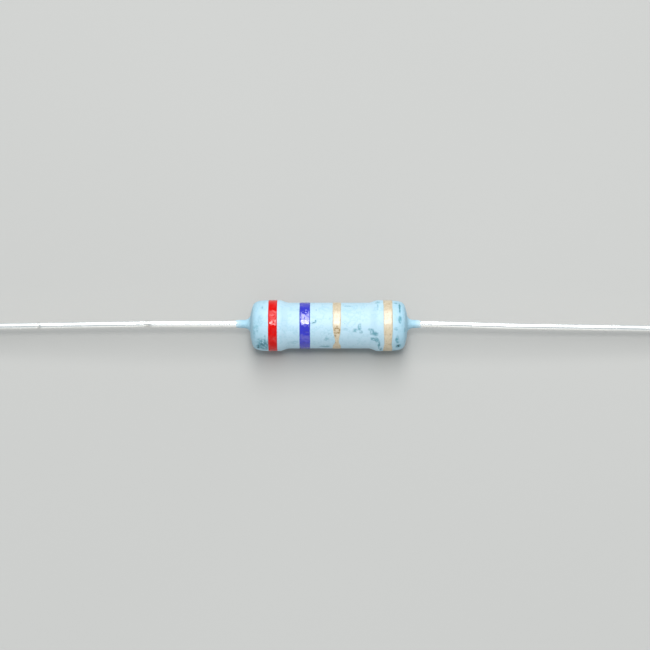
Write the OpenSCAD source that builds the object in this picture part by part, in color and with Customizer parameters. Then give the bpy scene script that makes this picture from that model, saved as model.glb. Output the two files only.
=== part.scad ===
// Axial-lead film resistor, two-watt size, in millimetres.
//
// A film-coated ceramic rod carries a pressed steel cap at each end, a wire is welded to each cap,
// lacquer covers everything but the wires, and four rings of paint give the value.
//
// Frame: X runs along the body, from the red band's end to the last gold band's end, and Z is up.
// The origin is on the surface that the body lies on, under the middle of the body.

/* [Ceramic rod] */
// Length of the rod
rod_l = 14; // [11:0.1:20]
// Diameter of the rod
rod_d = 4; // [3:0.1:6]
// Bevel round each end of the rod
rod_bevel = 0.3; // [0.25:0.05:0.5]

/* [Resistive film] */
// Thickness of the film
film_t = 0.03; // [0.02:0.01:0.08]
// Turns of the groove that trims the film
groove_turns = 5; // [2:1:8]
// Width of the groove
groove_w = 0.3; // [0.1:0.05:0.5]
// Plain film between a cap's mouth and the groove
groove_margin = 0.7; // [0.3:0.1:1]

/* [End caps] */
// Length of a cap, with its base
cap_l = 2.4; // [1.8:0.1:3.2]
// Wall of the cap's skirt
cap_wall = 0.22; // [0.15:0.01:0.35]
// Thickness of the cap's base
cap_base_t = 0.24; // [0.15:0.01:0.4]
// Inside radius of the cap's bottom corner
cap_corner = 0.22; // [0.1:0.02:0.24]
// Rise of the bell at the cap's mouth
cap_bell = 0.05; // [0.03:0.01:0.1]
// Length of the bell
cap_bell_l = 0.25; // [0.1:0.05:0.5]

/* [Leads] */
// Diameter of the wire
lead_d = 0.7; // [0.4:0.05:1]
// Length of each lead outside the body's end face
lead_l = 28; // [20:1:38]
// How far the welds sit from the middle of the caps, towards +Y
lead_offset = 0.16; // [0:0.02:0.3]
// Radius that the wire is bent to, on its centre line
lead_bend_r = 15; // [5:1:30]
// Bevel round the cut end of the wire
lead_tip_bevel = 0.06; // [0.02:0.02:0.1]
// Diameter of the weld on the cap's base
weld_d = 1.2; // [1.1:0.1:1.6]
// Height of the weld
weld_h = 0.22; // [0.1:0.02:0.26]

/* [Lacquer] */
// Thickness over the film and the caps' skirts
coat_t = 0.2; // [0.1:0.01:0.4]
// Thickness over the caps' bases
coat_end_t = 0.35; // [0.3:0.01:0.6]
// Radius of the rounded shoulder at each end
shoulder_r = 1.05; // [0.6:0.05:1.1]
// Length of the slope from a cap's mouth down to the waist
ramp_l = 0.85; // [0.4:0.05:1.2]
// Length of the sleeve that runs out along each lead
neck_l = 1.4; // [0.8:0.1:2.4]
// Thickness of the sleeve
neck_t = 0.06; // [0.03:0.01:0.12]
// Radius of the fillet where the sleeve meets the body's end face
neck_fillet = 0.65; // [0.3:0.05:0.7]

/* [Colour bands] */
// Thickness of the paint
band_t = 0.02; // [0.01:0.01:0.04]
// From the body's end face to the middle of the first band
first_band_in = 2.17; // [1.8:0.01:2.2]
// From the body's other end face to the middle of the last band
last_band_in = 1.87; // [1.6:0.01:2.2]
// Distance between the first, second and third bands
band_pitch = 3.1; // [2.5:0.1:4]
// Width of the red band
red_w = 0.86; // [0.5:0.02:1]
// Width of the violet band
violet_w = 1.02; // [0.5:0.02:1.2]
// Width of the gold band that multiplies
multiplier_w = 0.8; // [0.5:0.02:1.2]
// Width of the gold band that gives the tolerance
tolerance_w = 0.88; // [0.5:0.02:1]

/* [Hidden] */
$fn = 72;

// Each bend of a lead, in order outwards from the sleeve: [straight run before it, angle, roll].
// Roll 0 bends the wire down, 90 towards -Y and -90 towards +Y.
left_bends = [[8.6, 1.8, 14]];
right_bends = [[1, 2, 37], [7.5, 0.7, -90]];

// Steps that a quarter circle or an S-curve of an outline is drawn in
arc_steps = 10;
// Flat sides of one turn of the film
film_sides = 36;
// How far a solid runs into or past its neighbour, so that no cut ends flush
sink = 0.02;

// Radii, from the inside out
rod_r = rod_d / 2;
core_r = rod_r + film_t;
skirt_r = core_r + cap_wall;
waist_r = core_r + coat_t;
land_r = skirt_r + coat_t;
ridge_r = land_r + cap_bell;
lead_r = lead_d / 2;
neck_r = lead_r + neck_t;

// Places along X, as distances from the middle of the body
rod_end = rod_l / 2;
cap_end = rod_end + cap_base_t;
cap_mouth = cap_end - cap_l;
body_end = cap_end + coat_end_t;
neck_end = body_end + neck_l;
groove_end = cap_mouth - groove_margin;

// The body lies on the ridges over its caps
axis_z = ridge_r;

// Middles of the bands
red_x = first_band_in - body_end;
violet_x = red_x + band_pitch;
multiplier_x = violet_x + band_pitch;
tolerance_x = body_end - last_band_in;

// ---------- outlines ----------

// A smooth step from 0 to 1
function ease(u) = u * u * (3 - 2 * u);

// Points of an S-curve between two points of an outline, without the first point
function s_curve(from, to) = [
    for (i = [1:arc_steps])
        let (u = i / arc_steps)
            [from[0] + (to[0] - from[0]) * ease(u), from[1] + (to[1] - from[1]) * u]
];

// Points of an arc round a centre, from one angle to another
function arc(centre, r, from, to) = [
    for (i = [0:arc_steps])
        let (a = from + (to - from) * i / arc_steps)
            centre + r * [cos(a), sin(a)]
];

// Half of the lacquered body's outline as [radius, x], from its waist to its end face
function coat_outline() = concat(
    [[waist_r, 0], [waist_r, cap_mouth - ramp_l]],
    s_curve([waist_r, cap_mouth - ramp_l], [ridge_r, cap_mouth]),
    s_curve([ridge_r, cap_mouth], [land_r, cap_mouth + cap_bell_l]),
    arc([land_r - shoulder_r, body_end - shoulder_r], shoulder_r, 0, 90)
);

// ---------- placing ----------

// Turns a solid that stands on Z to lie along X on the body's axis
module on_body_axis() {
    translate([0, 0, axis_z])
        rotate([0, 90, 0])
            children();
}

// The same, on the axis of the leads
module on_lead_axis() {
    translate([0, lead_offset, 0])
        on_body_axis()
            children();
}

// The left end is the right end's mirror image
module at_end(side) {
    if (side < 0)
        mirror([1, 0, 0])
            children();
    else
        children();
}

// A solid of revolution from half of an outline, closed to the axis and doubled about X = 0
module turned_both_ways(half) {
    other_half = [for (i = [len(half) - 1:-1:0]) [half[i][0], -half[i][1]]];
    last = half[len(half) - 1][1];
    on_body_axis()
        rotate_extrude()
            polygon(concat([[0, -last]], other_half, half, [[0, last]]));
}

// ---------- core ----------

// A ground ceramic rod, bevelled so that it enters the caps
module ceramic_rod() {
    color("ivory")
        turned_both_ways([[rod_r, 0], [rod_r, rod_end - rod_bevel], [rod_r - rod_bevel, rod_end]]);
}

// The film is one strip. It starts as a full ring under the left cap, runs between the turns of
// the groove, and ends as a full ring under the right cap.
module resistive_film() {
    // Whole turns of the strip, and its pitch
    turns = groove_turns + 1;
    pitch = 2 * groove_end / groove_turns;
    steps = turns * film_sides;
    // The last step before the groove opens, and the first after it closes
    opens = film_sides;
    closes = groove_turns * film_sides;
    film_end = rod_end - rod_bevel;
    // The flats clear the rod, and the corners touch the caps' bores
    inner_r = rod_r / cos(180 / film_sides);

    // The strip's left and right edges after each step
    function groove_x(step) = -groove_end + pitch * step / film_sides;
    function left_x(step) =
        step < opens ? -film_end : groove_x(step - film_sides) + groove_w / 2;
    function right_x(step) = step > closes ? film_end : groove_x(step) - groove_w / 2;
    function corner(r, step, x) =
        [r * cos(360 * step / film_sides), r * sin(360 * step / film_sides), x];

    // Four corners a step: outer left, outer right, inner left, inner right
    points = [
        for (i = [0:steps], r = [core_r, inner_r], x = [left_x(i), right_x(i)])
            corner(r, i, x)
    ];
    function left(step) = 4 * step;
    function right(step) = 4 * step + 1;

    // A face on the inside of the strip has its outer twin's corners, two places on and in reverse
    function inside(face) = [for (i = [len(face):-1:1]) face[i % len(face)] + 2];
    // A wall through the film's thickness, along the outer edge from a to b
    function wall(a, b) = [a, b, b + 2, a + 2];

    // One step's start and end edges. Where the groove opens or closes, the edge takes in the
    // corners of the ring that it closes on.
    function start_edge(step) = step == closes
        ? [left(step), right(step), left(steps), right(steps)]
        : [left(step), right(step)];
    function end_edge(step) = step == opens
        ? [right(step), left(step), right(0), left(0)]
        : [right(step), left(step)];
    function last(list) = list[len(list) - 1];

    skins = [
        for (i = [0:steps - 1])
            let (s = start_edge(i), e = end_edge(i + 1))
                len(s) > 2 ? concat(e, s) : concat(s, e)
    ];
    walls = [
        for (i = [0:steps - 1], on_left = [true, false])
            let (s = start_edge(i), e = end_edge(i + 1))
                on_left ? wall(s[0], last(e)) : wall(e[0], last(s))
    ];
    groove_ends = [wall(right(0), left(opens)), wall(left(steps), right(closes))];

    faces = concat(skins, [for (f = skins) inside(f)], walls, groove_ends);
    color("dimgray")
        on_body_axis()
            polyhedron(points, faces);
}

// ---------- caps and leads ----------

// A drawn steel cup, belled at its mouth, pressed over the end of the film
module end_cap(side) {
    outer_corner = cap_corner + cap_wall;
    bell_start = cap_mouth + cap_bell_l;
    outside = concat(
        [[0, cap_end]],
        arc([skirt_r - outer_corner, cap_end - outer_corner], outer_corner, 90, 0),
        [[skirt_r, bell_start], [skirt_r + cap_bell, cap_mouth]]
    );
    inside = concat(
        [[core_r + cap_bell, cap_mouth], [core_r, bell_start]],
        arc([core_r - cap_corner, rod_end - cap_corner], cap_corner, 0, 90),
        [[0, rod_end]]
    );
    color("lightgray")
        at_end(side)
            on_body_axis()
                rotate_extrude()
                    polygon(concat(outside, inside));
}

// The lead's first run: its weld on the cap, and straight wire out through the sleeve
module lead_root(run) {
    weld_r = weld_d / 2;
    weld_rim = weld_h / 4;
    wire_end = coat_end_t + neck_l + run;
    rotate_extrude()
        polygon([
            [0, 0],
            [weld_r, 0],
            [weld_r, weld_rim],
            [lead_r, weld_h],
            [lead_r, wire_end],
            [0, wire_end]
        ]);
}

// The lead's last run, with the edge of its cut end broken
module lead_tip(run) {
    rotate_extrude()
        polygon([
            [0, 0],
            [lead_r, 0],
            [lead_r, run - lead_tip_bevel],
            [lead_r - lead_tip_bevel, run],
            [0, run]
        ]);
}

// Wire that curves from Z towards X by an angle
module bent_wire(angle) {
    rotate(180, [0, 1, 1])
        translate([-lead_bend_r, 0, 0])
            rotate_extrude(angle = angle)
                translate([lead_bend_r, 0])
                    circle(lead_r);
}

// What follows a straight run: the bend that ends it, then the rest of the wire
module after_run(run, bends, i, left_over) {
    angle = bends[i][1];
    roll = bends[i][2];
    arc_l = lead_bend_r * angle * PI / 180;
    translate([0, 0, run])
        rotate([0, 0, -roll]) {
            bent_wire(angle);
            translate([lead_bend_r * (1 - cos(angle)), 0, lead_bend_r * sin(angle)])
                rotate([0, angle, 0])
                    rotate([0, 0, roll])
                        outer_wire(bends, i + 1, left_over - arc_l);
        }
}

// The wire beyond bend number i - 1
module outer_wire(bends, i, left_over) {
    if (i == len(bends))
        lead_tip(left_over);
    else {
        run = bends[i][0];
        cylinder(r = lead_r, h = run);
        after_run(run, bends, i, left_over - run);
    }
}

// A tinned copper wire, butt-welded to its cap and bent a little in handling
module lead(side, bends) {
    first_run = bends[0][0];
    color("silver")
        at_end(side)
            on_lead_axis()
                translate([0, 0, cap_end]) {
                    lead_root(first_run);
                    after_run(
                        coat_end_t + neck_l + first_run, bends, 0, lead_l - neck_l - first_run
                    );
                }
}

// ---------- lacquer and paint ----------

// The sleeve of lacquer on a lead, with its fillet down to the body's end face
module neck() {
    fillet_x = body_end + neck_fillet - sink;
    foot_r = neck_r + neck_fillet;
    on_lead_axis()
        rotate_extrude()
            polygon(concat(
                [[0, cap_end], [foot_r, cap_end]],
                arc([foot_r, fillet_x], neck_fillet, 270, 180),
                [[neck_r, neck_end], [0, neck_end]]
            ));
}

// Everything inside the lacquer's outer surface, or inside a skin that stands off its waist
module coated_shape(skin = 0) {
    turned_both_ways([for (p = coat_outline()) [p[0] + skin, p[1]]]);
    if (skin == 0)
        for (side = [-1, 1])
            at_end(side)
                neck();
}

// The lacquer, set round the core, the caps and the first run of each lead
module lacquer_coat() {
    color("lightblue")
        difference() {
            coated_shape();
            turned_both_ways([[core_r, 0], [core_r, rod_end]]);
            for (side = [-1, 1]) {
                end_cap(side);
                at_end(side)
                    on_lead_axis()
                        translate([0, 0, cap_end])
                            lead_root(sink);
            }
        }
}

// A ring of paint that follows the lacquer's surface
module band(x, w, paint) {
    color(paint)
        difference() {
            intersection() {
                coated_shape(skin = band_t);
                translate([x - w / 2, -body_end, -body_end])
                    cube([w, 2 * body_end, 3 * body_end]);
            }
            coated_shape();
        }
}

ceramic_rod();
resistive_film();
end_cap(-1);  // end_cap_left
end_cap(1);  // end_cap_right
lead(-1, left_bends);  // lead_left
lead(1, right_bends);  // lead_right
lacquer_coat();
band(red_x, red_w, "red");  // red_band
band(violet_x, violet_w, "slateblue");  // violet_band
band(multiplier_x, multiplier_w, "tan");  // gold_multiplier_band
band(tolerance_x, tolerance_w, "tan");  // gold_tolerance_band
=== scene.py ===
import math

import bpy
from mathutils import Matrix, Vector


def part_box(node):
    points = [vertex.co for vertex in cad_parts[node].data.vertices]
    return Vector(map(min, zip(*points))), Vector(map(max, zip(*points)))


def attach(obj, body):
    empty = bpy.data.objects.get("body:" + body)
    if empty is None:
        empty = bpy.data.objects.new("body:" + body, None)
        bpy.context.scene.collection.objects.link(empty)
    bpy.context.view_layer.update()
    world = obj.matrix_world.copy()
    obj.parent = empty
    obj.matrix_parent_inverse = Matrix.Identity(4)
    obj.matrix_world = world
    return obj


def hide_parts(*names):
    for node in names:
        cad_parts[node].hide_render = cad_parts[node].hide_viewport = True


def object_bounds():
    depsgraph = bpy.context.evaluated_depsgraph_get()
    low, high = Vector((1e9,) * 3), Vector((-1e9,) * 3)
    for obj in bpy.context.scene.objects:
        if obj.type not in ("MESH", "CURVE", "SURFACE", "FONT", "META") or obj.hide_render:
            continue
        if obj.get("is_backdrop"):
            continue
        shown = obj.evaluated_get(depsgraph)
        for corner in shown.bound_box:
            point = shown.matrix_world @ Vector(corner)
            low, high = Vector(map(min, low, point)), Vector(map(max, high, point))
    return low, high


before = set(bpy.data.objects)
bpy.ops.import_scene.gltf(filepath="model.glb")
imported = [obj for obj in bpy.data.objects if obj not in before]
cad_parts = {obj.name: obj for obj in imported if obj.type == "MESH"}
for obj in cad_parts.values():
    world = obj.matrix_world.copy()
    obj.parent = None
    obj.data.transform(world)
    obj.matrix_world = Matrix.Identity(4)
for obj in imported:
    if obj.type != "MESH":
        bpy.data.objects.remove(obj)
cad_low, cad_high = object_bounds()

# ---------------------------------------------------------------------------------------------
# Lacquer. The film-coated rod, the pressed caps on its ends and the root of each wire are dipped
# in pale blue lacquer and cured. It takes the caps' shape, so it stands in a ridge over each
# cap's mouth, and it runs out along each wire in a thin sleeve. It is one shell, inside and out.
# ---------------------------------------------------------------------------------------------

MM = 0.001

coat_low, coat_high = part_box("lacquer_coat")
cap_low, cap_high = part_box("end_cap_right")

axis_z = (coat_low.z + coat_high.z) / 2
ridge_r = (coat_high.z - coat_low.z) / 2
core_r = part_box("resistive_film")[1].y
cap_mouth = cap_low.x
cap_end = cap_high.x

# What the lacquer covers
bell = 0.05 * MM
bell_l = 0.25 * MM
cap_corner = 0.44 * MM
wire_r = 0.35 * MM
weld_r = 0.6 * MM
weld_h = 0.22 * MM
weld_rim_share = 0.25
weld_offset = 0.16 * MM

# The barrel's outline, with drops measured from the highest point of the ridges
lacquer_t = 0.2 * MM
lacquer_end_t = 0.35 * MM
ramp_l = 1.0 * MM
crest_drop = 0.015 * MM
ridge_fall_l = 0.6 * MM
left_land_drop = 0.03 * MM
right_land_drop = 0.05 * MM
shoulder_l = 1.75 * MM
shoulder_r = 2 * MM
face_pull = 0.26 * MM
face_r = 1.2 * MM

# The sleeves on the wires
sleeve_r = 0.4 * MM
sleeve_fillet = 0.65 * MM
sleeve_feather = 0.35 * MM
sleeve_lip_t = 0.01 * MM
left_sleeve_l = 1.46 * MM
right_sleeve_l = 1.34 * MM

body_end = cap_end + lacquer_end_t
skirt_r = cap_high.y - bell
waist_r = core_r + lacquer_t
crest_r = ridge_r - crest_drop
left_land_r = ridge_r - left_land_drop
right_land_r = ridge_r - right_land_drop


def ease(u):
    """A smooth step from 0 to 1."""
    return u * u * (3 - 2 * u)


def s_curve(start, end, steps=10):
    """Points (x, r) from start to end whose radius changes smoothly, without the first."""
    shares = [i / steps for i in range(1, steps + 1)]
    return [(start[0] + (end[0] - start[0]) * u, start[1] + (end[1] - start[1]) * ease(u))
            for u in shares]


def arc(centre, radius, start, end, steps=14):
    """Points (x, r) on an arc. The angles are in degrees from the X axis towards the radius."""
    angles = [math.radians(start + (end - start) * i / steps) for i in range(steps + 1)]
    return [(centre[0] + radius * math.cos(a), centre[1] + radius * math.sin(a)) for a in angles]


def bezier(start, pull, push, end, steps=26):
    """Points (x, r) on a cubic curve from start to end, without the first."""
    points = []
    for i in range(1, steps + 1):
        u = i / steps
        shares = ((1 - u) ** 3, 3 * u * (1 - u) ** 2, 3 * u * u * (1 - u), u ** 3)
        points.append(tuple(sum(s * p[axis] for s, p in zip(shares, (start, pull, push, end)))
                            for axis in (0, 1)))
    return points


def closely(points, gap):
    """The same outline with points added until none is further than gap from the last."""
    filled = [points[0]]
    for last, point in zip(points, points[1:]):
        steps = max(1, math.ceil(math.dist(last, point) / gap))
        for i in range(1, steps + 1):
            filled.append(tuple(a + (b - a) * i / steps for a, b in zip(last, point)))
    return filled


def lacquer_outside(sleeve_l, land_r):
    """Half of the lacquer's outside as (x, off-centre, r), from the waist to the sleeve's end.
    The shoulder is one curve, from the land over the cap to an end face that is a little domed."""
    sleeve_end = body_end + sleeve_l
    foot_r = sleeve_r + sleeve_fillet
    body = [(0, waist_r), (cap_mouth - ramp_l, waist_r)]
    body += s_curve(body[-1], (cap_mouth, crest_r))
    body += s_curve(body[-1], (cap_mouth + ridge_fall_l, land_r))
    body.append((body_end - shoulder_l, land_r))
    body += bezier(body[-1], (body_end, land_r), (body_end - face_pull, shoulder_r),
                   (body_end, face_r))
    sleeve = arc((body_end + sleeve_fillet, foot_r), sleeve_fillet, 180, 270)
    sleeve.append((sleeve_end - sleeve_feather, sleeve_r))
    sleeve += s_curve(sleeve[-1], (sleeve_end, wire_r + sleeve_lip_t), steps=5)
    return [(x, 0, r) for x, r in body] + [(x, weld_offset, r) for x, r in sleeve]


def lacquer_inside(sleeve_l):
    """Half of the lacquer's inside as (x, off-centre, r), from the sleeve's end to the waist."""
    round_wire = [(body_end + sleeve_l, wire_r), (cap_end + weld_h, wire_r),
                  (cap_end + weld_h * weld_rim_share, weld_r), (cap_end, weld_r)]
    over_cap = arc((cap_end - cap_corner, skirt_r - cap_corner), cap_corner, 0, 90, steps=6)
    over_cap += [(cap_mouth + bell_l, skirt_r), (cap_mouth, skirt_r + bell),
                 (cap_mouth, core_r + bell), (cap_mouth + bell_l, core_r), (0, core_r)]
    return [(x, weld_offset, r) for x, r in round_wire] + [(x, 0, r) for x, r in over_cap]


def at_left(points):
    """The left end's outline, from the sleeve's end to the waist or back."""
    return [(-x, off_centre, r) for x, off_centre, r in reversed(points)]


def line_of_points(name, points, **values):
    """A line of points in order, with a number for each point under each name in values."""
    mesh = bpy.data.meshes.new(name)
    mesh.from_pydata(points, [(i, i + 1) for i in range(len(points) - 1)], [])
    for key, numbers in values.items():
        mesh.attributes.new(key, "FLOAT", "POINT").data.foreach_set("value", numbers)
    made = bpy.data.objects.new(name, mesh)
    bpy.context.scene.collection.objects.link(made)
    return made


def add(tree, kind, inputs=None, **settings):
    """Adds a node to a tree. Each input takes a value, or another node's output socket."""
    made = tree.nodes.new(kind)
    for name, value in settings.items():
        setattr(made, name, value)
    for socket, value in (inputs or {}).items():
        if isinstance(value, bpy.types.NodeSocket):
            tree.links.new(value, made.inputs[socket])
        else:
            made.inputs[socket].default_value = value
    return made


def maths(tree, operation, *values):
    """One sum. Each value is a number or an output socket, and the result is a socket."""
    return add(tree, "ShaderNodeMath", dict(enumerate(values)), operation=operation).outputs[0]


def along(tree, operation, *values):
    """One sum on vectors. A SCALE takes its factor last."""
    inputs = dict(enumerate(values))
    if operation == "SCALE":
        inputs = {0: values[0], "Scale": values[1]}
    return add(tree, "ShaderNodeVectorMath", inputs, operation=operation).outputs[0]


def new_tree(name, kind, inputs, outputs):
    """A node tree with named sockets, given as (name, socket type) pairs, and its two ends."""
    tree = bpy.data.node_groups.new(name, kind)
    for words, socket in inputs:
        tree.interface.new_socket(words, in_out="INPUT", socket_type="NodeSocket" + socket)
    for words, socket in outputs:
        tree.interface.new_socket(words, in_out="OUTPUT", socket_type="NodeSocket" + socket)
    return tree, add(tree, "NodeGroupInput").outputs, add(tree, "NodeGroupOutput").inputs


def noise(tree, place, size, seed, detail=2.0):
    """Noise from 0 to 1 whose blotches are about size across, as an output socket."""
    inputs = {"Vector": place, "W": seed, "Scale": maths(tree, "DIVIDE", 1, size),
              "Detail": detail}
    return add(tree, "ShaderNodeTexNoise", inputs, noise_dimensions="4D").outputs[0]


def ramp(tree, value, low, high, first=0.0, last=1.0, shape="LINEAR"):
    """Goes from first to last while value goes from low to high, and stays there past them."""
    inputs = {"Value": value, "From Min": low, "From Max": high, "To Min": first, "To Max": last}
    return add(tree, "ShaderNodeMapRange", inputs, interpolation_type=shape).outputs[0]


def wrapped_grid(tree, stations, sides):
    """A grid rolled up both ways into a ring: its mesh, and each point's station and angle."""
    columns = add(tree, "FunctionNodeIntegerMath", {0: sides, 1: 1}).outputs[0]
    rows = add(tree, "FunctionNodeIntegerMath", {0: stations, 1: 1}).outputs[0]
    grid = add(tree, "GeometryNodeMeshGrid", {"Vertices X": rows, "Vertices Y": columns})
    facing_out = add(tree, "GeometryNodeFlipFaces", {0: grid.outputs[0]}).outputs[0]
    index = add(tree, "GeometryNodeInputIndex").outputs[0]
    row = add(tree, "FunctionNodeIntegerMath", {0: index, 1: columns}, operation="DIVIDE_FLOOR")
    column = add(tree, "FunctionNodeIntegerMath", {0: index, 1: columns}, operation="MODULO")
    station = add(tree, "FunctionNodeIntegerMath", {0: row.outputs[0], 1: stations},
                  operation="MODULO")
    turn = maths(tree, "DIVIDE", column.outputs[0], sides)
    return facing_out, station.outputs[0], maths(tree, "MULTIPLY", turn, math.tau)


def seams_closed(tree, mesh):
    """Joins the points that lie on each other where a mesh meets itself."""
    touching = 0.0005 * MM
    return add(tree, "GeometryNodeMergeByDistance", {0: mesh, "Distance": touching}).outputs[0]


def finished(tree, mesh, material, output):
    """Ends a tree with one smooth, closed mesh in one material."""
    smooth = add(tree, "GeometryNodeSetShadeSmooth", {0: seams_closed(tree, mesh)})
    real = add(tree, "GeometryNodeRealizeInstances", {0: smooth.outputs[0]})
    painted = add(tree, "GeometryNodeSetMaterial", {0: real.outputs[0], "Material": material})
    tree.links.new(painted.outputs[0], output)


def turned_shell_tree():
    """Turns an outline of (x, off-centre, r) points about X, and ruffles its outside a little."""
    tree, given, result = new_tree("Turned shell", "GeometryNodeTree", [
        ("Outline", "Geometry"), ("Sides", "Int"), ("Axis Height", "Float"),
        ("Ripple Depth", "Float"), ("Ripple Size", "Float"), ("Run-out Waver", "Float"),
        ("Seed", "Float"), ("Material", "Material")], [("Shell", "Geometry")])
    count = add(tree, "GeometryNodeAttributeDomainSize", {0: given["Outline"]}).outputs[0]
    mesh, station, angle = wrapped_grid(tree, count, given["Sides"])

    def outline_value(value, data_type):
        """What the outline holds at this station."""
        return add(tree, "GeometryNodeSampleIndex",
                   {"Geometry": given["Outline"], "Value": value, "Index": station},
                   data_type=data_type).outputs[0]

    def outline_number(name):
        """A number stored on the outline's points, at this station."""
        stored = add(tree, "GeometryNodeInputNamedAttribute", {"Name": name}, data_type="FLOAT")
        return outline_value(stored.outputs[0], "FLOAT")

    position = add(tree, "GeometryNodeInputPosition").outputs[0]
    point = add(tree, "ShaderNodeSeparateXYZ", {0: outline_value(position, "FLOAT_VECTOR")})
    x, off_centre, radius = point.outputs
    across = maths(tree, "COSINE", angle)
    up = maths(tree, "SINE", angle)
    # In metres x hardly counts, so both sleeves' ends waver alike round the axis
    round_place = add(tree, "ShaderNodeCombineXYZ", {"X": x, "Y": across, "Z": up}).outputs[0]
    waver = maths(tree, "SUBTRACT", noise(tree, round_place, 0.7, given["Seed"]), 0.5)
    waver = maths(tree, "MULTIPLY", waver, given["Run-out Waver"])
    waver = maths(tree, "MULTIPLY", waver, outline_number("run_out"))
    y = maths(tree, "MULTIPLY_ADD", radius, across, off_centre)
    z = maths(tree, "MULTIPLY_ADD", radius, up, given["Axis Height"])
    place = add(tree, "ShaderNodeCombineXYZ", {"X": maths(tree, "ADD", x, waver), "Y": y, "Z": z})
    turned = add(tree, "GeometryNodeSetPosition", {0: mesh, "Position": place.outputs[0]})
    kept = add(tree, "GeometryNodeStoreNamedAttribute",
               {0: turned.outputs[0], "Name": "run_out", "Value": outline_number("run_out")},
               data_type="FLOAT", domain="POINT")
    kept = add(tree, "GeometryNodeStoreNamedAttribute",
               {0: kept.outputs[0], "Name": "outside", "Value": outline_number("outside")},
               data_type="FLOAT", domain="POINT")
    outside = add(tree, "GeometryNodeInputNamedAttribute", {"Name": "outside"}, data_type="FLOAT")
    slow = maths(tree, "SUBTRACT", noise(tree, position, given["Ripple Size"], given["Seed"]), 0.5)
    depth = maths(tree, "MULTIPLY", slow, given["Ripple Depth"])
    depth = maths(tree, "MULTIPLY", depth, outside.outputs[0])
    normal = add(tree, "GeometryNodeInputNormal").outputs[0]
    ruffled = add(tree, "GeometryNodeSetPosition",
                  {0: seams_closed(tree, kept.outputs[0]),
                   "Offset": along(tree, "SCALE", normal, depth)})
    finished(tree, ruffled.outputs[0], given["Material"], result[0])
    return tree


def made_by(piece, tree, inputs):
    """Runs a tree on a piece with these inputs, keeps the result as a plain mesh, and returns
    the piece."""
    modifier = piece.modifiers.new(tree.name, "NODES")
    modifier.node_group = tree
    sockets = {s.name: s.identifier for s in tree.interface.items_tree if s.in_out == "INPUT"}
    for name, value in inputs.items():
        modifier[sockets[name]] = value
    solved = piece.evaluated_get(bpy.context.evaluated_depsgraph_get())
    mesh = bpy.data.meshes.new_from_object(solved)
    piece.modifiers.remove(modifier)
    piece.data = mesh
    return piece


def place_in_mm(tree):
    """The object's own coordinates, in millimetres."""
    coordinates = add(tree, "ShaderNodeTexCoord").outputs["Object"]
    return along(tree, "SCALE", coordinates, 1 / MM)


def barrel_place_group():
    """Unrolls the barrel: millimetres along it, round it from its top towards -Y, and out."""
    tree, given, result = new_tree("Barrel Place", "ShaderNodeTree",
                                   [("Axis Height", "Float")], [("Place", "Vector")])
    x, y, z = add(tree, "ShaderNodeSeparateXYZ", {0: place_in_mm(tree)}).outputs
    rise = maths(tree, "SUBTRACT", z, given["Axis Height"])
    lean = maths(tree, "ARCTAN2", maths(tree, "MULTIPLY", y, -1), rise)
    out = maths(tree, "SQRT", maths(tree, "MULTIPLY_ADD", y, y, maths(tree, "POWER", rise, 2)))
    round_it = maths(tree, "MULTIPLY", lean, ridge_r / MM)
    place = add(tree, "ShaderNodeCombineXYZ", {"X": x, "Y": round_it, "Z": out})
    tree.links.new(place.outputs[0], result[0])
    return tree


def cure_wrinkle_group():
    """The fine wrinkle of a cured finish: its height, and a mask of the creases' bottoms."""
    tree, given, result = new_tree(
        "Cure Wrinkle", "ShaderNodeTree",
        [("Place", "Vector"), ("Size", "Float"), ("Crease Width", "Float"), ("Seed", "Float")],
        [("Height", "Float"), ("Creases", "Float")])
    place, size, seed = given["Place"], given["Size"], given["Seed"]
    pulled = noise(tree, place, maths(tree, "MULTIPLY", size, 2.5), seed)
    pulled = add(tree, "ShaderNodeCombineXYZ", {"X": pulled, "Y": pulled}).outputs[0]
    moved = along(tree, "ADD", place, along(tree, "SCALE", pulled, 0.6))
    veins = noise(tree, moved, size, seed, detail=3)
    off_middle = maths(tree, "ABSOLUTE", maths(tree, "SUBTRACT", veins, 0.5))
    creases = ramp(tree, off_middle, 0.0, given["Crease Width"], 1.0, 0.0, "SMOOTHSTEP")
    pimples = noise(tree, place, maths(tree, "MULTIPLY", size, 0.3), seed, detail=1)
    height = maths(tree, "SUBTRACT", maths(tree, "MULTIPLY", pimples, 0.35), creases)
    tree.links.new(height, result["Height"])
    tree.links.new(creases, result["Creases"])
    return tree


def mark_group():
    """One ragged mark: a mask that fades out past its half length and half width."""
    tree, given, result = new_tree(
        "Mark", "ShaderNodeTree",
        [("Place", "Vector"), ("Middle", "Vector"), ("Half Size", "Vector"),
         ("Ragged", "Float"), ("Seed", "Float")], [("Mask", "Float")])
    away = along(tree, "SUBTRACT", given["Place"], given["Middle"])
    shares = along(tree, "DIVIDE", away, given["Half Size"])
    flat = along(tree, "MULTIPLY", shares, (1, 1, 0))
    reach = add(tree, "ShaderNodeVectorMath", {0: flat}, operation="LENGTH").outputs["Value"]
    grain = noise(tree, given["Place"], 0.45, given["Seed"], detail=5)
    grain = maths(tree, "SUBTRACT", grain, 0.5)
    torn = maths(tree, "MULTIPLY_ADD", grain, given["Ragged"], reach)
    blot = ramp(tree, torn, 0.3, 1.15, 1.0, 0.0, "SMOOTHSTEP")
    scrape = noise(tree, given["Place"], 0.2, given["Seed"], detail=3)
    scrape = ramp(tree, scrape, 0.3, 0.56, shape="SMOOTHSTEP")
    tree.links.new(maths(tree, "MULTIPLY", blot, scrape), result["Mask"])
    return tree


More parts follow.
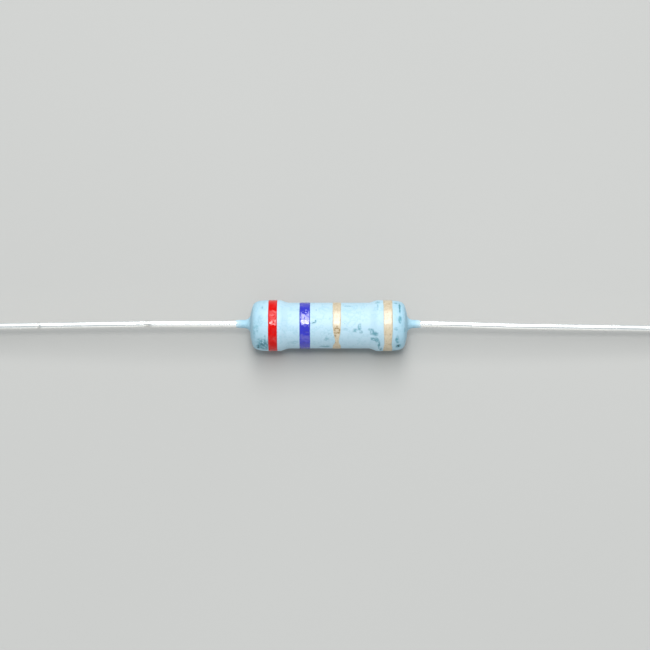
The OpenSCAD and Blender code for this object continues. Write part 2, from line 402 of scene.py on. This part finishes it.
def mixed(tree, share, first, second):
    """A colour between two others, each a socket or an (r, g, b) triple."""
    colour_a, colour_b, colour_out = 6, 7, 2
    first, second = [c if isinstance(c, bpy.types.NodeSocket) else (*c, 1)
                     for c in (first, second)]
    inputs = {"Factor": share, colour_a: first, colour_b: second}
    return add(tree, "ShaderNodeMix", inputs, data_type="RGBA").outputs[colour_out]


def filled_group(tree, shared, inputs):
    """Places a shared node group with its inputs filled."""
    return add(tree, "ShaderNodeGroup", inputs, node_tree=shared)


def new_material(name):
    """An empty material with its surface shader."""
    made = bpy.data.materials.new(name)
    made.use_nodes = True
    return made, made.node_tree, made.node_tree.nodes["Principled BSDF"]


def bumped(tree, shader, height, depth, strength):
    """Gives a finish a relief that is depth millimetres high where height is 1."""
    bump = add(tree, "ShaderNodeBump", {"Strength": strength, "Distance": depth * MM,
                                        "Height": height})
    tree.links.new(bump.outputs[0], shader.inputs["Normal"])


barrel_place = barrel_place_group()
cure_wrinkle = cure_wrinkle_group()
mark = mark_group()


def marked(tree, place, marks):
    """How strongly a list of marks covers each spot, from 0 to 1. A mark is given as lacquer_marks
    says. A mark as thin as a hair has smooth sides."""
    hair = 0.1
    ragged, smooth = 1.3, 0.2
    worn = None
    for number, (x, lean, half_l, half_w, dark) in enumerate(marks):
        middle = (x, math.radians(lean) * ridge_r / MM, 0)
        mask = filled_group(tree, mark, {"Place": place, "Middle": middle,
                                         "Half Size": (half_l, half_w, 1),
                                         "Ragged": ragged if half_w > hair else smooth,
                                         "Seed": float(number)}).outputs[0]
        share = maths(tree, "MULTIPLY", mask, dark)
        worn = share if worn is None else maths(tree, "MAXIMUM", worn, share)
    return worn


# Handling marks on the lacquer: millimetres along from the middle, degrees from the top towards
# -Y, half length, half width, and how dark the mark is.
lacquer_marks = [
    (-6.35, 64, 0.8, 0.9, 0.82),
    (-6.8, 74, 0.22, 0.5, 1.0),
    (-6.1, 82, 0.5, 0.2, 0.7),
    (-5.85, 54, 0.16, 0.6, 0.5),
    (-6.45, -31, 0.16, 0.30, 0.45),
    (-6.15, 42, 0.15, 0.35, 0.55),
    (-6.6, 2, 0.35, 0.7, 0.22),
    (-6.9, 22, 0.2, 0.6, 0.28),
    (-3.4, 62, 0.6, 0.3, 0.25),
    (-0.35, 80, 0.7, 0.22, 0.55),
    (-0.2, 52, 0.4, 0.3, 0.3),
    (-1.22, -27, 0.1, 0.15, 0.45),
    (0.13, -2, 0.12, 0.05, 0.5),
    (1.54, 10, 0.06, 0.06, 0.5),
    (-1.70, 9.5, 0.20, 0.08, 0.85),
    (-1.44, 8.0, 0.20, 0.08, 0.9),
    (-1.27, 4.0, 0.09, 0.22, 0.85),
    (2.95, 18, 0.22, 0.5, 0.55),
    (2.55, 27, 0.34, 0.28, 0.5),
    (3.1, 31, 0.24, 0.24, 0.45),
    (1.6, 24, 0.4, 0.2, 0.2),
    (4.15, 31, 0.26, 0.46, 0.72),
    (4.45, 34, 0.36, 0.32, 0.72),
    (4.0, 25, 0.26, 0.2, 0.45),
    (4.25, 49, 0.3, 0.26, 0.7),
    (4.6, 50, 0.3, 0.34, 0.68),
    (4.85, 66, 0.14, 0.7, 0.8),
    (5.05, 84, 0.16, 0.4, 0.9),
    (4.75, -50, 0.3, 0.3, 0.45),
    (4.72, -32, 0.1, 0.6, 0.3),
    (6.85, -34, 0.13, 0.9, 0.85),
    (6.6, -48, 0.4, 0.2, 0.5),
    (6.85, 0, 0.22, 0.5, 0.62),
    (6.45, 23, 0.2, 0.2, 0.35),
    (7.3, 28, 0.1, 0.4, 0.5),
    (6.6, 50, 0.22, 0.55, 0.7),
    (6.72, 72, 0.3, 0.36, 1.0),
    (-7.2, 30, 0.2, 0.9, 0.3),
    (-2.6, -28, 0.7, 0.12, 0.25),
    (1.9, -42, 0.5, 0.2, 0.3),
]


def lacquer_material():
    """Satin pale blue lacquer, with its cure wrinkle, painted shade in the wrinkle's creases, a
    darkening towards the ends, and its handling marks.
    """
    deep_blue, light_blue = (0.44, 0.63, 0.74), (0.50, 0.675, 0.765)
    end_blue = (0.28, 0.52, 0.64)
    crease_shade_blue = (0.20, 0.47, 0.56)
    grime_blue = (0.14, 0.34, 0.42)
    stain_blue = (0.09, 0.29, 0.36)
    soot = (0.02, 0.03, 0.04)
    tin_through_blue = (0.80, 0.86, 0.87)
    material, tree, shader = new_material("pale blue lacquer")
    place = filled_group(tree, barrel_place, {"Axis Height": axis_z / MM}).outputs[0]
    wrinkle = filled_group(tree, cure_wrinkle, {"Place": place, "Size": 0.9,
                                               "Crease Width": 0.035, "Seed": 3.0})
    cloud = noise(tree, place, 3.0, 7.0, detail=3)
    colour = mixed(tree, cloud, deep_blue, light_blue)
    x = add(tree, "ShaderNodeSeparateXYZ", {0: place}).outputs[0]
    # The colour darkens towards the ends, over the shoulders
    end_darkening = ramp(tree, maths(tree, "ABSOLUTE", x), 5.4, 7.6, shape="SMOOTHSTEP")
    colour = mixed(tree, maths(tree, "MULTIPLY", end_darkening, 0.55), colour, end_blue)
    patchy = noise(tree, place, 1.6, 5.0)
    # Painted shade: the bottoms of the wrinkle's creases are darkened, in patches
    veins = maths(tree, "MULTIPLY", wrinkle.outputs["Creases"], patchy)
    colour = mixed(tree, maths(tree, "MULTIPLY", veins, 0.5), colour, crease_shade_blue)
    grime = ramp(tree, noise(tree, place, 0.17, 12.0, detail=3), 0.62, 0.74)
    grime = maths(tree, "MULTIPLY", grime, patchy)
    colour = mixed(tree, maths(tree, "MULTIPLY", grime, 0.7), colour, grime_blue)
    worn = marked(tree, place, lacquer_marks)
    stain = maths(tree, "MINIMUM", maths(tree, "MULTIPLY", worn, 1.4), 0.9)
    colour = mixed(tree, stain, colour, stain_blue)
    darkest = maths(tree, "MAXIMUM", maths(tree, "MULTIPLY_ADD", worn, 3.5, -2.5), 0)
    colour = mixed(tree, darkest, colour, soot)
    thin = add(tree, "ShaderNodeAttribute", attribute_name="run_out").outputs["Fac"]
    colour = mixed(tree, maths(tree, "MULTIPLY", thin, 0.5), colour, tin_through_blue)
    tree.links.new(colour, shader.inputs["Base Color"])
    rough = maths(tree, "MULTIPLY_ADD", cloud, 0.12, 0.46)
    rough = maths(tree, "MULTIPLY_ADD", worn, 0.2, rough)
    tree.links.new(rough, shader.inputs["Roughness"])
    bumped(tree, shader, wrinkle.outputs["Height"], depth=0.012, strength=0.5)
    return material


def lacquer_outline(left, right):
    """The lacquer's closed outline, and for each point whether it is outside and how far it has
    run out along a sleeve."""
    gap = 0.068 * MM
    hidden_gap = 4 * gap
    fade = 0.6 * MM
    outside = at_left(lacquer_outside(left, left_land_r))
    outside += lacquer_outside(right, right_land_r)[1:]
    outside = closely(outside, gap)
    inside = closely(lacquer_inside(right), hidden_gap)
    inside += closely(at_left(lacquer_inside(left)), hidden_gap)[1:]
    ends = (-body_end - left, body_end + right)

    def thinned(point):
        """1 at a sleeve's end, falling to 0 within the fade."""
        return max(0.0, 1 - min(abs(point[0] - end) for end in ends) / fade)

    points = outside + inside
    skin = [1.0] * len(outside) + [0.0] * len(inside)
    return points, skin, [thinned(p) for p in points]


outline, skin, run_out = lacquer_outline(left_sleeve_l, right_sleeve_l)
lacquer = made_by(
    line_of_points("lacquer_shell", outline, outside=skin, run_out=run_out),
    turned_shell_tree(),
    {"Sides": 192, "Axis Height": axis_z, "Ripple Depth": 0.03 * MM, "Ripple Size": 2.2 * MM,
     "Run-out Waver": 0.5 * MM, "Seed": 4.0, "Material": lacquer_material()})
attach(lacquer, "root")
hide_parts("lacquer_coat")

# ---------------------------------------------------------------------------------------------
# Colour bands. Each band is a ring of marking paint that a wheel rolls onto the lacquer while the
# body turns. Its edges waver, and the gold multiplier band pinches in where the paint ran short.
# ---------------------------------------------------------------------------------------------


def paint_ring_tree():
    """A thin closed ring that follows the lacquer under it, with wavering edges."""
    tree, given, result = new_tree("Paint ring", "GeometryNodeTree", [
        ("Ring", "Geometry"), ("Lacquer", "Object"), ("Sides", "Int"), ("Steps Across", "Int"),
        ("Axis Height", "Float"), ("Reach", "Float"), ("Middle", "Float"), ("Width", "Float"),
        ("Thickness", "Float"), ("Waver", "Float"), ("Pinch Angle", "Float"),
        ("Spread Above", "Float"), ("Spread Below", "Float"), ("Pinch Share", "Float"),
        ("Seed", "Float"), ("Material", "Material")], [("Ring", "Geometry")])
    steps = given["Steps Across"]
    both = maths(tree, "MULTIPLY", steps, 2)
    mesh, station, angle = wrapped_grid(tree, both, given["Sides"])
    last = maths(tree, "SUBTRACT", steps, 1)
    on_top = maths(tree, "LESS_THAN", station, steps)
    back = maths(tree, "SUBTRACT", maths(tree, "SUBTRACT", both, 1), station)
    share = maths(tree, "DIVIDE", maths(tree, "MINIMUM", station, back), last)

    across = maths(tree, "COSINE", angle)
    up = maths(tree, "SINE", angle)
    outward = add(tree, "ShaderNodeCombineXYZ", {"X": 0.0, "Y": across, "Z": up}).outputs[0]
    off_pinch = maths(tree, "SUBTRACT", angle, given["Pinch Angle"])
    above = maths(tree, "DIVIDE", maths(tree, "MINIMUM", off_pinch, 0), given["Spread Above"])
    below = maths(tree, "DIVIDE", maths(tree, "MAXIMUM", off_pinch, 0), given["Spread Below"])
    squared = maths(tree, "POWER", maths(tree, "ADD", above, below), 2)
    pinch = maths(tree, "EXPONENT", maths(tree, "MULTIPLY", squared, -1))
    pinch = maths(tree, "MULTIPLY", pinch, given["Pinch Share"])
    half = maths(tree, "MULTIPLY", given["Width"], 0.5)
    half = maths(tree, "MULTIPLY", half, maths(tree, "SUBTRACT", 1, pinch))

    def edge(side, number):
        """Where one edge of the ring runs at this angle."""
        seed = maths(tree, "ADD", given["Seed"], number)
        slow = maths(tree, "SUBTRACT", noise(tree, outward, 0.5, seed), 0.5)
        fine = maths(tree, "SUBTRACT", noise(tree, outward, 0.08, seed, detail=3), 0.5)
        sway = maths(tree, "MULTIPLY_ADD", fine, 0.5, slow)
        sway = maths(tree, "MULTIPLY", sway, given["Waver"])
        return maths(tree, "MULTIPLY_ADD", half, side, maths(tree, "ADD", sway, given["Middle"]))

    x = ramp(tree, share, 0.0, 1.0, edge(-1, 0.0), edge(1, 9.0))
    start = along(tree, "SCALE", outward, given["Reach"])
    middle = add(tree, "ShaderNodeCombineXYZ", {"X": x, "Y": 0.0, "Z": given["Axis Height"]})
    ray = add(tree, "GeometryNodeRaycast", {
        "Target Geometry": add(tree, "GeometryNodeObjectInfo",
                               {"Object": given["Lacquer"]}).outputs["Geometry"],
        "Source Position": along(tree, "ADD", middle.outputs[0], start),
        "Ray Direction": along(tree, "SCALE", outward, -1.0), "Ray Length": given["Reach"]})

    # The top is crowned, with rounded edges, and the underside lies just below the surface
    off_middle = maths(tree, "ABSOLUTE", maths(tree, "MULTIPLY_ADD", share, 2, -1))
    crown = maths(tree, "SUBTRACT", 1, maths(tree, "POWER", off_middle, 6))
    lift = maths(tree, "MULTIPLY", crown, given["Thickness"])
    sunk = maths(tree, "MULTIPLY", given["Thickness"], -0.4)
    height = add(tree, "ShaderNodeMix", {"Factor": on_top, "A": sunk, "B": lift}).outputs[0]
    place = along(tree, "ADD", ray.outputs["Hit Position"], along(tree, "SCALE", outward, height))
    ring = add(tree, "GeometryNodeSetPosition", {0: mesh, "Position": place})
    finished(tree, ring.outputs[0], given["Material"], result[0])
    return tree


def paint_material(name, deep, light, fleck_and_shade, fleck_and_shade_share, rough, shine, ior, uneven, blobs=0.0,
                   scorches=()):
    """Marking paint, patchy in colour and darker in thin flecks and where scorched, with painted
    shade in the bottoms of its wrinkle's creases. Uneven is how high its lumps are in
    millimetres, which tears the edge of a reflection. Shine is its specular level, and blobs is
    how much glossier it is where it dried in blobs."""
    material, tree, shader = new_material(name)
    place = filled_group(tree, barrel_place, {"Axis Height": axis_z / MM}).outputs[0]
    wrinkle = filled_group(tree, cure_wrinkle, {"Place": place, "Size": 0.55,
                                               "Crease Width": 0.05, "Seed": 11.0})
    cloud = noise(tree, place, 0.9, 2.0, detail=4)
    colour = mixed(tree, cloud, deep, light)
    dots = ramp(tree, noise(tree, place, 0.24, 6.0, detail=3), 0.58, 0.72)
    # Painted shade: the bottoms of the wrinkle's creases are darkened with the fleck colour
    creases = maths(tree, "MULTIPLY", wrinkle.outputs["Creases"], 0.4)
    # The dark colour goes on thin flecks, which are real, and on the painted crease shade
    thin = maths(tree, "MAXIMUM", dots, creases)
    colour = mixed(tree, maths(tree, "MULTIPLY", thin, fleck_and_shade_share), colour, fleck_and_shade)
    if scorches:
        colour = mixed(tree, marked(tree, place, scorches), colour, fleck_and_shade)
    tree.links.new(colour, shader.inputs["Base Color"])
    shader.inputs["Specular IOR Level"].default_value = shine
    shader.inputs["IOR"].default_value = ior
    if blobs:
        glossy = noise(tree, place, 0.5, 9.0, detail=1)
        glossy = ramp(tree, glossy, 0.54, 0.62, last=blobs, shape="SMOOTHSTEP")
        tree.links.new(glossy, shader.inputs["Coat Weight"])
        shader.inputs["Coat IOR"].default_value = 1.6
        shader.inputs["Coat Roughness"].default_value = 0.04
    dullness = maths(tree, "MULTIPLY_ADD", cloud, 0.1, rough)
    tree.links.new(dullness, shader.inputs["Roughness"])
    lumps = noise(tree, place, 0.55, 14.0)
    bumped(tree, shader, lumps, depth=uneven, strength=1.0)
    return material


red_paint = paint_material("red paint", (0.60, 0.001, 0.0002), (0.68, 0.002, 0.0005),
                           (0.45, 0.001, 0.001), 0.5,
                           rough=0.06, shine=0.2, ior=1.5, uneven=0.08, blobs=0.42)
violet_paint = paint_material("violet paint", (0.008, 0.008, 0.42), (0.020, 0.020, 0.54),
                              (0.02, 0.01, 0.16), 0.4,
                              rough=0.04, shine=0.75, ior=1.63, uneven=0.12)
# A loop of brown spots in the gold multiplier band, given as lacquer_marks are
gold_scorches = [
    (0.56, 27, 0.12, 0.22, 1.0),
    (0.66, 22, 0.18, 0.12, 1.0),
    (0.90, 22, 0.18, 0.12, 1.0),
    (1.03, 27, 0.12, 0.24, 1.0),
    (0.95, 33, 0.18, 0.12, 1.0),
    (0.68, 33, 0.18, 0.12, 1.0),
    (0.80, 18, 0.12, 0.14, 0.8),
    (0.62, 41, 0.12, 0.20, 0.8),
]
gold_paint = paint_material("gold paint", (0.56, 0.44, 0.28), (0.70, 0.60, 0.44),
                            (0.28, 0.17, 0.05), 0.7,
                            rough=0.3, shine=0.9, ior=1.55, uneven=0.02,
                            scorches=gold_scorches)

paint_ring = paint_ring_tree()
band_sides = 240
paint_t = 0.02 * MM
# The pinch's place round the ring from +Y, and how far it reaches to either side
pinch_angle = math.radians(149)
pinch_above = math.radians(22)
pinch_below = math.radians(12)
# CAD node, slot, material, edge waver in millimetres, share lost at the pinch, seed
bands = [
    ("red_band", "red_paint", red_paint, 0.05, 0.0, 1.0),
    ("violet_band", "violet_paint", violet_paint, 0.05, 0.0, 5.0),
    ("gold_multiplier_band", "gold_paint", gold_paint, 0.10, 0.55, 3.0),
    ("gold_tolerance_band", "gold_paint", gold_paint, 0.08, 0.2, 8.0),
]
for node, slot, paint, waver, pinch, seed in bands:
    low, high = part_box(node)
    ring = made_by(
        line_of_points(node + "_ring", [(0, 0, 0)]), paint_ring,
        {"Lacquer": lacquer, "Sides": band_sides, "Steps Across": 14, "Axis Height": axis_z,
         "Reach": 2 * ridge_r, "Middle": (low.x + high.x) / 2, "Width": high.x - low.x,
         "Thickness": paint_t, "Waver": waver * MM, "Pinch Angle": pinch_angle,
         "Spread Above": pinch_above, "Spread Below": pinch_below,
         "Pinch Share": pinch, "Seed": seed, "Material": paint})
    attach(ring, "root")
    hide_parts(node)

# ---------------------------------------------------------------------------------------------
# Leads. Each is a length of hot-tinned copper wire, butt-welded to its cap, drawn round and
# slightly bent in handling. The left one carries two nicks from the machine that handled it.
# ---------------------------------------------------------------------------------------------

bend_r = 15 * MM
tip_bevel = 0.06 * MM
nick_depth = 0.07 * MM
wire_gap = 0.05 * MM
# The cut ends stop just short of the frame's ends, and so stay inside its box
wire_end = cad_high.x - 0.01 * MM
# Each bend is the straight run before it, its angle and its roll, in millimetres and degrees.
# The first run is counted from the lacquer's nominal sleeve.
nominal_sleeve_l = 1.4 * MM
left_bends = [(8.6, 1.8, 14)]
right_bends = [(1.0, 2.0, 37), (7.5, 0.7, -90)]


def wire_route(side, bends):
    """The wire's centre line from its weld outwards, with four points round each bend."""
    here = Vector((cap_end, weld_offset, axis_z))
    heading = Vector((1, 0, 0))
    route = [here.copy()]
    coated = lacquer_end_t + nominal_sleeve_l
    for run, angle, roll in bends:
        here = here + heading * (coated + run * MM)
        route.append(here.copy())
        coated = 0
        sideways = Vector((0, -math.sin(math.radians(roll)), -math.cos(math.radians(roll))))
        turn = math.radians(angle)
        steps = 4
        for _ in range(steps):
            heading = (heading + sideways * math.tan(turn / steps)).normalized()
            here = here + heading * bend_r * turn / steps
            route.append(here.copy())
    here = here + heading * ((wire_end - here.x) / heading.x)
    route.append(here.copy())
    return [(side * p.x, p.y, p.z) for p in route]


def drawn_wire_tree():
    """Sweeps a round wire along a route, upset into a weld at its start, with a broken edge at
    its cut end, faint drawing ripples, and a dent wherever the route's nick value is high."""
    ripple_size = 0.3 * MM
    nicked_side = (0, -0.85, 0.52)
    tree, given, result = new_tree("Drawn wire", "GeometryNodeTree", [
        ("Route", "Geometry"), ("Sides", "Int"), ("Spacing", "Float"), ("Wire Radius", "Float"),
        ("Weld Radius", "Float"), ("Weld Height", "Float"), ("Tip Bevel", "Float"),
        ("Ripple Depth", "Float"), ("Nick Depth", "Float"), ("Seed", "Float"),
        ("Material", "Material")], [("Wire", "Geometry")])
    curve = add(tree, "GeometryNodeMeshToCurve", {0: given["Route"]}).outputs[0]
    even = add(tree, "GeometryNodeResampleCurve", {0: curve, "Length": given["Spacing"]},
               mode="LENGTH").outputs[0]
    total = add(tree, "GeometryNodeCurveLength", {0: even}).outputs[0]
    gone = add(tree, "GeometryNodeSplineParameter").outputs["Length"]
    rim = maths(tree, "MULTIPLY", given["Weld Height"], weld_rim_share)
    cone = ramp(tree, gone, rim, given["Weld Height"], given["Weld Radius"],
                given["Wire Radius"])
    left_over = maths(tree, "SUBTRACT", total, gone)
    bevelled = maths(tree, "SUBTRACT", given["Wire Radius"], given["Tip Bevel"])
    bevelled = maths(tree, "ADD", bevelled, left_over)
    radius = maths(tree, "MINIMUM", cone, bevelled)
    circle = add(tree, "GeometryNodeCurvePrimitiveCircle",
                 {"Resolution": given["Sides"], "Radius": 1.0}).outputs[0]
    swept = add(tree, "GeometryNodeCurveToMesh", {"Curve": even, "Profile Curve": circle,
                                                  "Scale": radius, "Fill Caps": True})
    position = add(tree, "GeometryNodeInputPosition").outputs[0]
    normal = add(tree, "GeometryNodeInputNormal").outputs[0]
    drawn = along(tree, "MULTIPLY", position, (0.25, 1, 1))
    ripple = maths(tree, "SUBTRACT", noise(tree, drawn, ripple_size, given["Seed"]), 0.5)
    ripple = maths(tree, "MULTIPLY", ripple, given["Ripple Depth"])
    nick = add(tree, "GeometryNodeInputNamedAttribute", {"Name": "nick"}, data_type="FLOAT")
    facing = add(tree, "ShaderNodeVectorMath", {0: normal, 1: nicked_side},
                 operation="DOT_PRODUCT").outputs["Value"]
    facing = maths(tree, "MAXIMUM", facing, 0)
    dent = maths(tree, "MULTIPLY", maths(tree, "POWER", facing, 4), nick.outputs[0])
    dent = maths(tree, "MULTIPLY", dent, given["Nick Depth"])
    depth = maths(tree, "SUBTRACT", ripple, dent)
    shaped = add(tree, "GeometryNodeSetPosition",
                 {0: swept.outputs[0], "Offset": along(tree, "SCALE", normal, depth)})
    finished(tree, shaped.outputs[0], given["Material"], result[0])
    return tree


def drawn_metal_group():
    """Fine lines along a drawn or pressed metal, and a dull patchiness across it."""
    tree, given, result = new_tree(
        "Drawn Metal", "ShaderNodeTree",
        [("Stretch", "Vector"), ("Line Width", "Float"), ("Seed", "Float")],
        [("Lines", "Float"), ("Dullness", "Float")])
    place = place_in_mm(tree)
    pulled = along(tree, "MULTIPLY", place, given["Stretch"])
    lines = noise(tree, pulled, given["Line Width"], given["Seed"], detail=3)
    tree.links.new(lines, result["Lines"])
    tree.links.new(noise(tree, place, 1.3, given["Seed"], detail=4), result["Dullness"])
    return tree


def tinned_wire_material():
    """Hot tin on copper: bright, faintly lined along its length, duller where it was rubbed."""
    material, tree, shader = new_material("tinned wire")
    metal = filled_group(tree, drawn_metal, {"Stretch": (0.03, 1, 1), "Line Width": 0.08,
                                             "Seed": 2.0})
    lines, dullness = metal.outputs
    bright = mixed(tree, dullness, (0.88, 0.88, 0.86), (0.98, 0.97, 0.94))
    dull_spots = ramp(tree, lines, 0.60, 0.72)
    bright = mixed(tree, maths(tree, "MULTIPLY", dull_spots, 0.35), bright, (0.50, 0.52, 0.54))
    nicked = add(tree, "ShaderNodeAttribute", attribute_name="nick").outputs["Fac"]
    bright = mixed(tree, maths(tree, "MULTIPLY", nicked, 0.3), bright, (0.30, 0.28, 0.25))
    tree.links.new(bright, shader.inputs["Base Color"])
    shader.inputs["Metallic"].default_value = 0.85
    rough = maths(tree, "MULTIPLY_ADD", dullness, 0.16, 0.18)
    tree.links.new(rough, shader.inputs["Roughness"])
    bumped(tree, shader, lines, depth=0.003, strength=0.3)
    return material


drawn_metal = drawn_metal_group()
drawn_wire = drawn_wire_tree()
tinned_wire = tinned_wire_material()
# Nicks as millimetres along from the body's middle, and half lengths
left_nicks = [(-17.64, 0.28), (-28.28, 0.12)]
for node, side, bends, nicks, seed in (("lead_left", -1, left_bends, left_nicks, 1.0),
                                       ("lead_right", 1, right_bends, [], 6.0)):
    route = closely(wire_route(side, bends), wire_gap)
    nick = [max([math.exp(-((p[0] / MM - x) / half) ** 2) for x, half in nicks], default=0.0)
            for p in route]
    wire = made_by(
        line_of_points(node + "_wire", route, nick=nick), drawn_wire,
        {"Sides": 40, "Spacing": wire_gap, "Wire Radius": wire_r, "Weld Radius": weld_r,
         "Weld Height": weld_h, "Tip Bevel": tip_bevel, "Ripple Depth": 0.012 * MM,
         "Nick Depth": nick_depth, "Seed": seed, "Material": tinned_wire})
    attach(wire, "root")
    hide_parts(node)

# ---------------------------------------------------------------------------------------------
# Core. Under the lacquer are a ground ceramic rod, the metal-oxide film deposited on it with its
# helical groove, and a tin-plated steel cap pressed over each end. Their shapes are the frame's.
# ---------------------------------------------------------------------------------------------


def ceramic_material():
    """Unglazed ceramic: off-white and grainy, with a few dark inclusions."""
    material, tree, shader = new_material("unglazed ceramic")
    place = place_in_mm(tree)
    grain = noise(tree, place, 0.12, 1.0, detail=5)
    colour = mixed(tree, noise(tree, place, 2.5, 3.0), (0.80, 0.77, 0.69), (0.88, 0.86, 0.80))
    dark = ramp(tree, noise(tree, place, 0.2, 8.0), 0.70, 0.74)
    colour = mixed(tree, maths(tree, "MULTIPLY", dark, 0.6), colour, (0.35, 0.30, 0.25))
    tree.links.new(colour, shader.inputs["Base Color"])
    tree.links.new(maths(tree, "MULTIPLY_ADD", grain, 0.2, 0.6), shader.inputs["Roughness"])
    bumped(tree, shader, grain, depth=0.01, strength=0.5)
    return material


def film_material():
    """Metal-oxide film: dark and half metallic, bluish in places and brownish in others."""
    material, tree, shader = new_material("metal-oxide film")
    place = place_in_mm(tree)
    cloud = noise(tree, place, 1.8, 2.0, detail=3)
    colour = mixed(tree, cloud, (0.05, 0.055, 0.075), (0.13, 0.11, 0.12))
    tree.links.new(colour, shader.inputs["Base Color"])
    shader.inputs["Metallic"].default_value = 0.6
    grain = noise(tree, place, 0.1, 4.0, detail=4)
    tree.links.new(maths(tree, "MULTIPLY_ADD", grain, 0.2, 0.3), shader.inputs["Roughness"])
    bumped(tree, shader, grain, depth=0.004, strength=0.3)
    return material


def cap_material():
    """Tin-plated pressed steel, lined along the press's travel."""
    material, tree, shader = new_material("plated cap steel")
    metal = filled_group(tree, drawn_metal, {"Stretch": (0.1, 1, 1), "Line Width": 0.1,
                                             "Seed": 9.0})
    lines, dullness = metal.outputs
    colour = mixed(tree, dullness, (0.46, 0.44, 0.41), (0.62, 0.60, 0.56))
    tree.links.new(colour, shader.inputs["Base Color"])
    shader.inputs["Metallic"].default_value = 1.0
    tree.links.new(maths(tree, "MULTIPLY_ADD", lines, 0.25, 0.25), shader.inputs["Roughness"])
    bumped(tree, shader, lines, depth=0.006, strength=0.4)
    return material


cap_steel = cap_material()
core_finishes = {"ceramic_rod": ceramic_material(), "resistive_film": film_material(),
                 "end_cap_left": cap_steel, "end_cap_right": cap_steel}
for node, finish in core_finishes.items():
    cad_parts[node].data.materials.clear()
    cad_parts[node].data.materials.append(finish)

# ---------------------------------------------------------------------------------------------
# Studio. A plain pale table, a tall soft window leaning in from the far side between two dimmer
# strips, a bar of skylight straight above, a faint warm card low on the near side, and a camera
# that looks down steeply across the body.
# ---------------------------------------------------------------------------------------------

table_half = 1.5
light_distance = 0.5
window_lean = 23
window_w = 0.176
window_h = 0.56
window_side_w = 0.06
warm_white = (1, 0.94, 0.86)
room_colour = (0.82, 0.93, 1, 1)
room_strength = 0.51


def table_material():
    """Plain pale card."""
    material, tree, shader = new_material("pale card")
    place = place_in_mm(tree)
    colour = mixed(tree, noise(tree, place, 60.0, 1.0), (0.44, 0.43, 0.41), (0.47, 0.46, 0.44))
    tree.links.new(colour, shader.inputs["Base Color"])
    shader.inputs["Roughness"].default_value = 0.8
    return material


def soft_light(name, lean, width, height, power, colour=(1, 1, 1), along_x=0):
    """A panel of light over the table, leaning to +Y by degrees, that faces the body's axis."""
    data = bpy.data.lights.new(name, "AREA")
    data.shape = "RECTANGLE"
    data.size = width
    data.size_y = height
    data.energy = power
    data.color = colour
    lamp = bpy.data.objects.new(name, data)
    angle = math.radians(lean)
    lamp.location = (along_x, light_distance * math.sin(angle), light_distance * math.cos(angle))
    lamp.rotation_euler = (-angle, 0, 0)
    bpy.context.scene.collection.objects.link(lamp)


table_mesh = bpy.data.meshes.new("table")
table_mesh.from_pydata([(-table_half, -table_half, 0), (table_half, -table_half, 0),
                        (table_half, table_half, 0), (-table_half, table_half, 0)],
                       [], [(0, 1, 2, 3)])
table = bpy.data.objects.new("table", table_mesh)
table.data.materials.append(table_material())
bpy.context.scene.collection.objects.link(table)
table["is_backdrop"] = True

# The window and the skylight are narrow along the body, so that its paint reflects them as a
# crisp strip. The window's two faint sides carry that strip on to the wires' ends, and the near
# card draws a second, creamy one along their lower halves.
soft_light("window", window_lean, window_w, window_h, power=1.92)
soft_light("skylight", lean=-2, width=window_w, height=0.105, power=0.6)
side_x = (window_w + window_side_w) / 2
for name, x in (("window_left_side", -side_x), ("window_right_side", side_x)):
    soft_light(name, window_lean, window_side_w, window_h, power=0.15, along_x=x)
soft_light("near_card", lean=-76, width=0.28, height=0.24, power=0.19, colour=warm_white)

world = bpy.data.worlds.new("room")
world.use_nodes = True
world.node_tree.nodes["Background"].inputs["Color"].default_value = room_colour
world.node_tree.nodes["Background"].inputs["Strength"].default_value = room_strength
bpy.context.scene.world = world
bpy.context.scene.view_settings.view_transform = "Standard"

elevation = math.radians(75)
camera_distance = 176 * MM
# The middle of the picture, a little beside the body's own middle
aim = Vector((-0.366 * MM, 0.052 * MM, axis_z + 0.014 * MM))
camera_data = bpy.data.cameras.new("camera")
camera_data.lens = 100
camera_data.sensor_width = 36
camera_data.clip_start = 0.01
camera = bpy.data.objects.new("camera", camera_data)
camera.location = aim + camera_distance * Vector((0, -math.cos(elevation), math.sin(elevation)))
camera.rotation_euler = (math.pi / 2 - elevation, 0, 0)
bpy.context.scene.collection.objects.link(camera)
bpy.context.scene.camera = camera

low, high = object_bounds()
